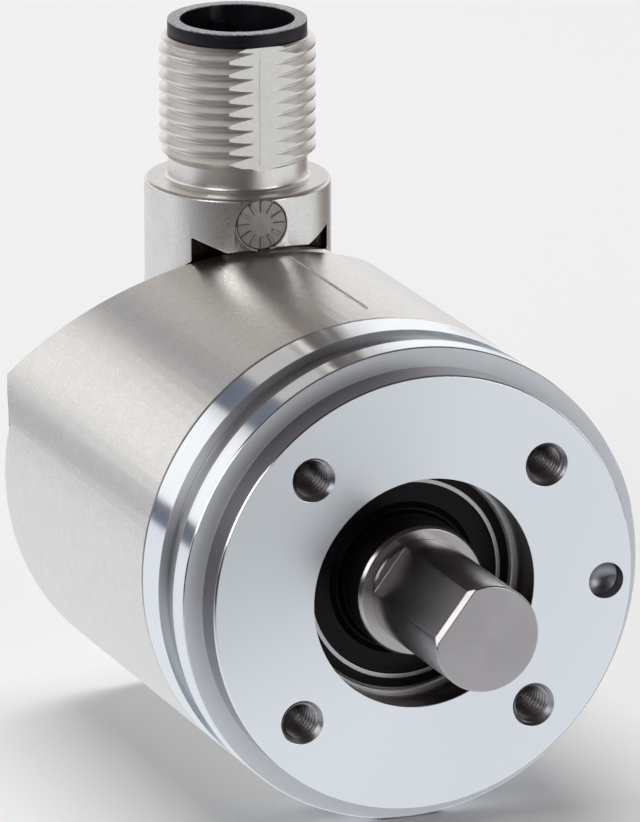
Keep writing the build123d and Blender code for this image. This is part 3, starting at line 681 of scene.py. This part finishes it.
def circleTree():
    # copies of a shape on a circle about Z, each turned with its place
    inputs = [("shape", "NodeSocketObject", None), ("count", "NodeSocketInt", 4),
              ("circle", "NodeSocketFloat", 13 * mm), ("turn", "NodeSocketFloat", 0.0),
              ("material", "NodeSocketMaterial", None)]
    tree, size, sockets = newTree("shapesOnCircle", inputs)
    ring = addNode(tree, "GeometryNodeMeshCircle",
                   {"Vertices": size["count"], "Radius": size["circle"]})
    turned = addNode(tree, "ShaderNodeCombineXYZ", {2: size["turn"]}).outputs[0]
    ring = addNode(tree, "GeometryNodeTransform",
                   {"Geometry": ring.outputs[0], "Rotation": turned})
    points = addNode(tree, "GeometryNodeMeshToPoints", {0: ring.outputs[0]})
    number = addNode(tree, "GeometryNodeInputIndex").outputs[0]
    each = maths(tree, "DIVIDE", 2 * pi, size["count"])
    angle = maths(tree, "MULTIPLY_ADD", number, each, size["turn"])
    lean = addNode(tree, "ShaderNodeCombineXYZ", {2: angle}).outputs[0]
    shape = addNode(tree, "GeometryNodeObjectInfo", {"Object": size["shape"]})
    copies = addNode(tree, "GeometryNodeInstanceOnPoints",
                     {"Points": points.outputs[0], "Instance": shape.outputs["Geometry"],
                      "Rotation": lean})
    endTree(tree, copies.outputs[0], size["material"])
    return tree, sockets


def makeTaps():
    # the threaded cores that the holes are cut with, standing on the front face
    tap = growPiece("tap", threadNodes, threadSockets, tapped["thread"])
    closeEnds(tap.data, [tapped["mouth"]], tapped["tips"])
    # the holes' threads get the darker metal: partly cutting oil, partly painted shade
    sizes = {"shape": tap, "count": tapped["count"], "circle": tapped["circle"],
             "turn": tapped["turn"], "material": materials["tappedHole"]}
    taps = growPiece("taps", *circleTree(), sizes)
    bpy.data.objects.remove(tap)
    upToBack = Matrix(((1, 0, 0, 0), (0, 0, 1, 0), (0, -1, 0, 0), (0, 0, 0, 1)))
    taps.data.transform(upToBack)
    return taps


def makeFlange():
    flange = cadCopy("servo_flange", "turnedFlange")
    softenEdges(flange, softWidths["servo_flange"])
    flange.data.materials.append(materials["turnedAluminium"])
    combine(flange, makeTaps(), "DIFFERENCE")
    shadeSmooth(flange)
    finishNode(flange, "servo_flange", "base")


makeFlange()
print("flange done")


# Housing, with the seam behind the flange

seam = {
    "start": 10.55,
    "end": 10.80,
    "floor": 17.6,
    "outside": 18.5,
    "steps": 256,
}


def makeHousing():
    shell = cadCopy("rear_housing", "castHousing")
    shell.data.materials.append(materials["castNickel"])
    slot = [(seam["floor"], seam["start"]), (seam["outside"], seam["start"]),
            (seam["outside"], seam["end"]), (seam["floor"], seam["end"])]
    combine(shell, lathe("slot", slot, seam["steps"]), "DIFFERENCE")
    softenEdges(shell, softWidths["rear_housing"])
    shadeSmooth(shell)
    finishNode(shell, "rear_housing", "base")


makeHousing()
print("housing done")


# Swivel connector: tower, coupling thread and mould clock

mouldClock = {
    "lean": 6.3,
    "height": 20.32,
    "face": 6.86,
    "radius": 1.88,
    "thickness": 0.5,
    "sides": 64,
    "ticks": 12,
    "tickIn": 0.95,
    "tickOut": 1.80,
    "tickWidth": 0.15,
    "tickHeight": 0.30,
    "pocketRadius": 1.94,
    "pocketDepth": 0.3,
    "pocketTop": 2,
}

spout = {
    "axis": 36.97,
    "bore": 4.75,
    "foot": 22.4,
    "neck": 5.3,
    "fillet": 0.35,
    "filletSteps": 6,
    "neckTop": 24.1,
    "top": 33.6,
    "rim": 5.45,
    "flat": 5.28,
    "crest": 5.95,
    "overlap": 0.1,
    "steps": 240,
    "cutReach": 8,
    "cutTop": 35,
    "sleeveReach": 6.45,
    "sleeveFoot": 22,
    "thread": {"crest": 5.95 * mm, "root": 5.34 * mm, "pitch": 1.0 * mm,
               "low": 23.18 * mm, "high": 34.0 * mm, "turn": 0.2,
               "rootShare": 0.1, "crestStart": 0.8, "columns": 289, "steps": 20},
}

# the tower is kept up to the foot of its neck, and the thread's blank stands there
towerCut = {
    "low": spout["foot"] + 0.01,
    "high": 36,
    "radius": 8,
}

# the room that holds the tower's two notches and none of its outside; faces in it get painted
# shade
notchRoom = {
    "inside": 3.2,
    "outside": 5.56,
    "back": 34.2,
    "top": 19.4,
    "skin": 7.0,
}


def clockPlace():
    # stands a shape made about Z on the tower's front, looking outwards
    side = radians(mouldClock["lean"])
    out = Vector((-sin(side), -cos(side), 0))
    spot = Vector((0, spout["axis"], mouldClock["height"])) + out * mouldClock["face"]
    return Matrix.Translation(spot * mm) @ out.to_track_quat("Z", "Y").to_matrix().to_4x4()


def inNotch(x, y, z):
    room = notchRoom
    deep = Vector((x, y - spout["axis"])).length < room["skin"]
    beside = room["inside"] < abs(x) < room["outside"]
    return deep and beside and y < room["back"] and z < room["top"]


def paintNotchShade(tower):
    # painted shade: little light falls on the notches' walls, so they get a darker copy of the
    # nickel
    tower.data.materials.append(materials["notchNickel"])
    for face in tower.data.polygons:
        if inNotch(*(face.center / mm)):
            face.material_index = len(tower.data.materials) - 1


def makeTower():
    tower = cadCopy("connector_body", "connectorTower")
    tower.data.materials.append(materials["castNickel"])
    clock, cut = mouldClock, towerCut
    pocket = roundBar("pocket", clock["pocketRadius"], -clock["pocketDepth"], clock["pocketTop"])
    pocket.data.transform(clockPlace())
    combine(tower, pocket, "DIFFERENCE")
    axis = (0, spout["axis"], 0)
    upper = roundBar("upper", cut["radius"], cut["low"], cut["high"], axis)
    combine(tower, upper, "DIFFERENCE")
    softenEdges(tower, softWidths["connector_body"])
    shadeSmooth(tower)
    paintNotchShade(tower)
    finishNode(tower, "connector_body", "connector")


def makeBlank():
    # the turned blank that the thread is cut on, with its two flats
    size = spout
    neck, foot, fillet, over = size["neck"], size["foot"], size["fillet"], size["overlap"]
    wide = size["crest"] + over
    outline = [(size["bore"], foot - over), (neck + fillet, foot - over)]
    for step in range(size["filletSteps"] + 1):
        turn = radians(270 - 90 / size["filletSteps"] * step)
        outline.append((neck + fillet + fillet * cos(turn), foot + fillet + fillet * sin(turn)))
    outline += [(neck, size["neckTop"]), (wide, size["neckTop"] + wide - neck),
                (wide, size["top"] - wide + size["rim"]), (size["rim"], size["top"]),
                (size["bore"], size["top"])]
    blank = lathe("blank", outline, size["steps"], upright=True)
    blank.data.materials.append(materials["threadNickel"])
    low, high = size["neckTop"] - over, size["cutTop"]
    for side in (-1, 1):
        near, far = side * size["flat"], side * size["cutReach"]
        flat = [(near, low), (far, low), (far, high), (near, high)]
        combine(blank, prism("flat", flat, size["cutReach"]), "DIFFERENCE")
    return blank


def makeThread():
    thread = dict(spout["thread"], material=materials["threadNickel"])
    sleeve = growPiece("couplingThread", threadNodes, threadSockets, thread)
    reach, foot = spout["sleeveReach"], spout["sleeveFoot"]
    rings = [(reach, thread["low"] / mm), (reach, foot)]
    closeEnds(sleeve.data, rings, (foot, thread["high"] / mm))
    combine(sleeve, makeBlank(), "INTERSECT")
    sleeve.data.transform(Matrix.Translation((0, spout["axis"] * mm, 0)))
    shadeSmooth(sleeve, sharp=35)
    finishPiece(sleeve, "connector")


makeTower()
makeThread()
print("connector done")


def clockTree():
    look = mouldClock
    inputs = [("radius", "NodeSocketFloat", look["radius"] * mm),
              ("thickness", "NodeSocketFloat", look["thickness"] * mm),
              ("sides", "NodeSocketInt", look["sides"]),
              ("ticks", "NodeSocketInt", look["ticks"]),
              ("tickMiddle", "NodeSocketFloat", (look["tickIn"] + look["tickOut"]) / 2 * mm),
              ("tickLength", "NodeSocketFloat", (look["tickOut"] - look["tickIn"]) * mm),
              ("tickWidth", "NodeSocketFloat", look["tickWidth"] * mm),
              ("tickHeight", "NodeSocketFloat", look["tickHeight"] * mm),
              ("material", "NodeSocketMaterial", materials["clockNickel"])]
    tree, size, sockets = newTree("mouldClock", inputs)
    disc = addNode(tree, "GeometryNodeMeshCylinder",
                   {"Vertices": size["sides"], "Radius": size["radius"],
                    "Depth": size["thickness"]})
    sunk = maths(tree, "MULTIPLY", size["thickness"], -0.5)
    drop = addNode(tree, "ShaderNodeCombineXYZ", {2: sunk}).outputs[0]
    disc = addNode(tree, "GeometryNodeTransform",
                   {"Geometry": disc.outputs[0], "Translation": drop})
    bar = addNode(tree, "ShaderNodeCombineXYZ",
                  {0: size["tickLength"], 1: size["tickWidth"], 2: size["tickHeight"]})
    bar = addNode(tree, "GeometryNodeMeshCube", {"Size": bar.outputs[0]})
    ring = addNode(tree, "GeometryNodeMeshCircle",
                   {"Vertices": size["ticks"], "Radius": size["tickMiddle"]})
    number = addNode(tree, "GeometryNodeInputIndex").outputs[0]
    each = maths(tree, "DIVIDE", 2 * pi, size["ticks"])
    lean = addNode(tree, "ShaderNodeCombineXYZ",
                   {2: maths(tree, "MULTIPLY", number, each)}).outputs[0]
    bars = addNode(tree, "GeometryNodeInstanceOnPoints",
                   {"Points": ring.outputs[0], "Instance": bar.outputs[0], "Rotation": lean})
    both = addNode(tree, "GeometryNodeJoinGeometry", {0: disc.outputs[0]})
    tree.links.new(bars.outputs[0], both.inputs[0])
    endTree(tree, both.outputs[0], size["material"])
    return tree, sockets


def makeClock():
    clock = growPiece("mouldClock", *clockTree())
    clock.data.transform(clockPlace())
    shadeSmooth(clock, sharp=30, weigh=False)
    finishPiece(clock, "connector")


makeClock()


# Dotted flash where the two halves of a mould met

# each line's start, end and width in mm, and the body that it is on
flashLines = {
    "housingFlash": ((1.0, 13.6, 17.995), (1.0, 28.7, 17.995), 0.17, "base"),
    "frontSpoutFlash": ((-0.27, 31.695, 24.5), (-0.27, 31.695, 32.8), 0.10, "connector"),
    "rearSpoutFlash": ((0.0, 42.245, 24.9), (0.0, 42.245, 32.6), 0.10, "connector"),
}
beads = {
    "smallest": 0.5,
    "largest": 1.1,
    "roundness": 2,
    "seed": 3,
}


def flashTree():
    inputs = [("start", "NodeSocketVector", (0, 0, 0)), ("end", "NodeSocketVector", (0, 0, 1)),
              ("count", "NodeSocketInt", 60), ("radius", "NodeSocketFloat", 0.05 * mm),
              ("seed", "NodeSocketInt", beads["seed"]),
              ("material", "NodeSocketMaterial", None)]
    tree, size, sockets = newTree("flashLine", inputs)
    line = addNode(tree, "GeometryNodeMeshLine",
                   {"Count": size["count"], "Start Location": size["start"],
                    "Offset": size["end"]}, mode="END_POINTS")
    shares = addNode(tree, "FunctionNodeRandomValue",
                     {"Seed": size["seed"], "Min": (beads["smallest"],) * 3,
                      "Max": (beads["largest"],) * 3}, data_type="FLOAT_VECTOR")
    bead = addNode(tree, "GeometryNodeMeshIcoSphere",
                   {"Radius": size["radius"], "Subdivisions": beads["roundness"]})
    row = addNode(tree, "GeometryNodeInstanceOnPoints",
                  {"Points": line.outputs[0], "Instance": bead.outputs[0],
                   "Scale": shares.outputs[0]})
    endTree(tree, row.outputs[0], size["material"])
    return tree, sockets


def makeFlashLines():
    tree, sockets = flashTree()
    for name, (start, end, width, body) in flashLines.items():
        length = (Vector(end) - Vector(start)).length
        sizes = {"start": tuple(x * mm for x in start), "end": tuple(x * mm for x in end),
                 "count": int(length / width), "radius": width / 2 * mm,
                 "material": materials["castNickel"]}
        line = growPiece(name, tree, sockets, sizes)
        shadeSmooth(line, sharp=60, weigh=False)
        finishPiece(line, body)


makeFlashLines()
print("mould marks done")


# Shaft, seal, insert, contacts and the front bore's lip

boreLip = {
    "inside": 8.42,
    "outside": 8.69,
    "front": 3.54,
    "back": 3.89,
    "chamfer": 0.08,
    "steps": 160,
}


def makeBoreLip():
    # the bright edge that the front bore ends in, round the seal
    size = boreLip
    outline = [(size["inside"], size["front"] + size["chamfer"]),
               (size["inside"] + size["chamfer"], size["front"]),
               (size["outside"], size["front"]), (size["outside"], size["back"]),
               (size["inside"], size["back"])]
    lip = lathe("boreLip", outline, size["steps"])
    lip.data.materials.append(materials["lipAluminium"])
    shadeSmooth(lip, sharp=30)
    finishPiece(lip, "base")


def dressNode(node, name, body, finish=None):
    piece = cadCopy(node, name)
    if softWidths[node]:
        softenEdges(piece, softWidths[node])
    shadeSmooth(piece)
    if finish:
        piece.data.materials.append(materials[finish])
    finishNode(piece, node, body)


makeBoreLip()
dressNode("encoder_shaft", "shaftBar", "shaft")
dressNode("shaft_seal", "sealLip", "base")
dressNode("shaft_seal_case", "sealCase", "base")
dressNode("contact_insert", "socketInsert", "connector", "socketPlastic")
dressNode("contact_pins", "contactPins", "connector")
print("small pieces done")


# Studio: floor, cards, sky and lamps, with their places in metres

floorLook = {
    "height": -18.02 * mm,
    "reach": 3,
    "colour": (0.84, 0.85, 0.86),
    "roughness": (0.55, 0.65),
    "speck": 40.0,
    "sheen": (0.83, 0.85, 0.87),
    "dark": (0.022, 0.016, 0.015),
    "sheenShare": 0.96,
}

# the floor's reflection is dark past both of these lines: the way across each one, and
# where its soft edge starts and ends
darkSides = [
    ((-0.43, -0.90, 0.0), 0.0226, 0.0726),
    ((-0.995, -0.10, 0.0), -0.054, 0.056),
]


def makeFloor():
    look = floorLook
    work = bmesh.new()
    bmesh.ops.create_grid(work, x_segments=1, y_segments=1, size=look["reach"])
    bmesh.ops.translate(work, verts=work.verts, vec=(0, 0, look["height"]))
    mesh = bpy.data.meshes.new("studioFloor")
    work.to_mesh(mesh)
    work.free()
    floor = addPiece("studioFloor", mesh)
    made = newMaterial("studioFloor", look["colour"], metallic=0.0, roughness=0.6)
    material, tree, shader, place = made
    speck = grain(tree, place, look["speck"], detail=2.0)
    tree.links.new(spread(tree, speck, *look["roughness"]), shader.inputs["Roughness"])
    shade = 1.0
    for way, start, end in darkSides:
        reach = addNode(tree, "ShaderNodeVectorMath", {0: place, 1: way},
                        operation="DOT_PRODUCT").outputs["Value"]
        shade = maths(tree, "MULTIPLY", shade, between(tree, reach, start, end, 0.0, 1.0))
    glow = addNode(tree, "ShaderNodeEmission",
                   {"Color": blend(tree, shade, look["sheen"], look["dark"])})
    ray = tree.nodes.new("ShaderNodeLightPath").outputs["Is Glossy Ray"]
    wires = {0: maths(tree, "MULTIPLY", ray, look["sheenShare"]),
             1: shader.outputs[0], 2: glow.outputs[0]}
    both = addNode(tree, "ShaderNodeMixShader", wires)
    tree.links.new(both.outputs[0], tree.nodes["Material Output"].inputs["Surface"])
    floor.data.materials.append(material)


def farPoint(side, rise, reach=1.0):
    # a point so far off, its bearing from +Y and its rise in degrees
    side, rise = radians(side), radians(rise)
    return (reach * sin(side) * cos(rise), reach * cos(side) * cos(rise), reach * sin(rise))


slate = (0.20, 0.23, 0.29)
brown = (0.24, 0.20, 0.18)
pale = (0.90, 0.90, 0.90)
justOffFloor = -0.0175

cards = {
    "rightCard": (brown, [(0.06, 0.085, justOffFloor), (0.15, 0.03, justOffFloor),
                          (0.50, 0.10, justOffFloor), (0.30, 0.36, justOffFloor)]),
    "sideCard": (slate, [(-0.30, 0.16, -0.018), (-0.30, 0.16, 0.008),
                         (-0.03, 0.31, 0.008), (-0.03, 0.31, -0.018)]),
    "backCard": (slate, [farPoint(-6.5, 19.2), farPoint(-11, 31.5), farPoint(-21.5, 28.0),
                         farPoint(-13.5, 16.4)]),
    "brightCard": (pale, [farPoint(-150, 2, 0.8), farPoint(-140, 2, 0.8),
                          farPoint(-145, 18, 0.8), farPoint(-157, 18, 0.8)]),
}


def makeCard(name, colour, corners):
    # a card that only reflections show
    mesh = bpy.data.meshes.new(name)
    mesh.from_pydata(corners, [], [range(len(corners))])
    card = addPiece(name, mesh)
    card.data.materials.append(newMaterial(name, colour, metallic=0.0, roughness=0.8)[0])
    card.visible_camera = False
    card.visible_diffuse = False
    card.visible_shadow = False
    card.visible_transmission = False


# sky colours by height, from the horizon at nought to overhead at one
skyBands = [
    (0.000, (1.04, 1.04, 1.04)),
    (0.330, (1.08, 1.08, 1.08)),
    (0.375, (0.52, 0.49, 0.47)),
    (0.480, (0.58, 0.55, 0.52)),
    (0.560, (0.26, 0.23, 0.22)),
    (0.720, (0.26, 0.23, 0.22)),
    (0.800, (0.30, 0.27, 0.26)),
    (1.000, (0.22, 0.19, 0.18)),
]
skyFront = {
    "colour": (0.045, 0.034, 0.032),
    "edge": (-0.30, 0.25),
}


def makeSky():
    # a bright band round the back under a dimmer ceiling, and a dark front
    world = bpy.data.worlds.new("studioSky")
    bpy.context.scene.world = world
    world.use_nodes = True
    tree = world.node_tree
    way = tree.nodes.new("ShaderNodeTexCoord").outputs["Generated"]
    parts = addNode(tree, "ShaderNodeSeparateXYZ", {0: way}).outputs
    bands = addNode(tree, "ShaderNodeValToRGB", {0: parts[2]})
    stops = bands.color_ramp.elements
    for level, colour in skyBands[1:-1]:
        stops.new(level)
    for stop, (level, colour) in zip(stops, skyBands):
        stop.position = level
        stop.color = (*colour, 1)
    share = between(tree, parts[1], *skyFront["edge"], 0.0, 1.0)
    colour = blend(tree, share, skyFront["colour"], bands.outputs[0])
    tree.links.new(colour, tree.nodes["Background"].inputs["Color"])


# square lamps that point at the object; reflections don't show the top one
lamps = {
    "topLamp": {"spot": (0.05, 0.30, 0.85), "size": 0.7, "power": 7.2, "mirrored": False},
    "leftLamp": {"spot": (-0.70, -0.42, 0.34), "size": 0.45, "power": 1.6, "mirrored": True},
    "rightLamp": {"spot": (0.55, -0.75, 0.25), "size": 0.4, "power": 1.2, "mirrored": True},
}


def makeLamp(name, look):
    lamp = bpy.data.lights.new(name, "AREA")
    lamp.shape = "SQUARE"
    lamp.size = look["size"]
    lamp.energy = look["power"]
    holder = bpy.data.objects.new(name, lamp)
    bpy.context.scene.collection.objects.link(holder)
    holder.location = look["spot"]
    holder.rotation_euler = (-Vector(look["spot"])).to_track_quat("-Z", "Y").to_euler()
    holder.visible_camera = False
    holder.visible_glossy = look["mirrored"]


makeFloor()
for name, (colour, corners) in cards.items():
    makeCard(name, colour, corners)
makeSky()
for name, look in lamps.items():
    makeLamp(name, look)


# Camera, where the photograph was taken from

view = {
    "spot": (-0.244997, -0.583691, 0.201789),
    "side": 22.078,
    "drop": 16.534,
    "focalPixels": 9099.25,
    "picturePixels": 822,
    "sensor": 36,
    "farthest": 50,
}


def makeCamera():
    lens = bpy.data.cameras.new("camera")
    lens.lens = view["focalPixels"] / view["picturePixels"] * view["sensor"]
    lens.sensor_width = view["sensor"]
    lens.clip_end = view["farthest"]
    camera = bpy.data.objects.new("camera", lens)
    bpy.context.scene.collection.objects.link(camera)
    camera.location = view["spot"]
    side, drop = radians(view["side"]), radians(view["drop"])
    look = Vector((sin(side) * cos(drop), cos(side) * cos(drop), -sin(drop)))
    camera.rotation_euler = look.to_track_quat("-Z", "Y").to_euler()
    bpy.context.scene.camera = camera
    bpy.context.scene.view_settings.view_transform = "Standard"


makeCamera()
print("studio done")
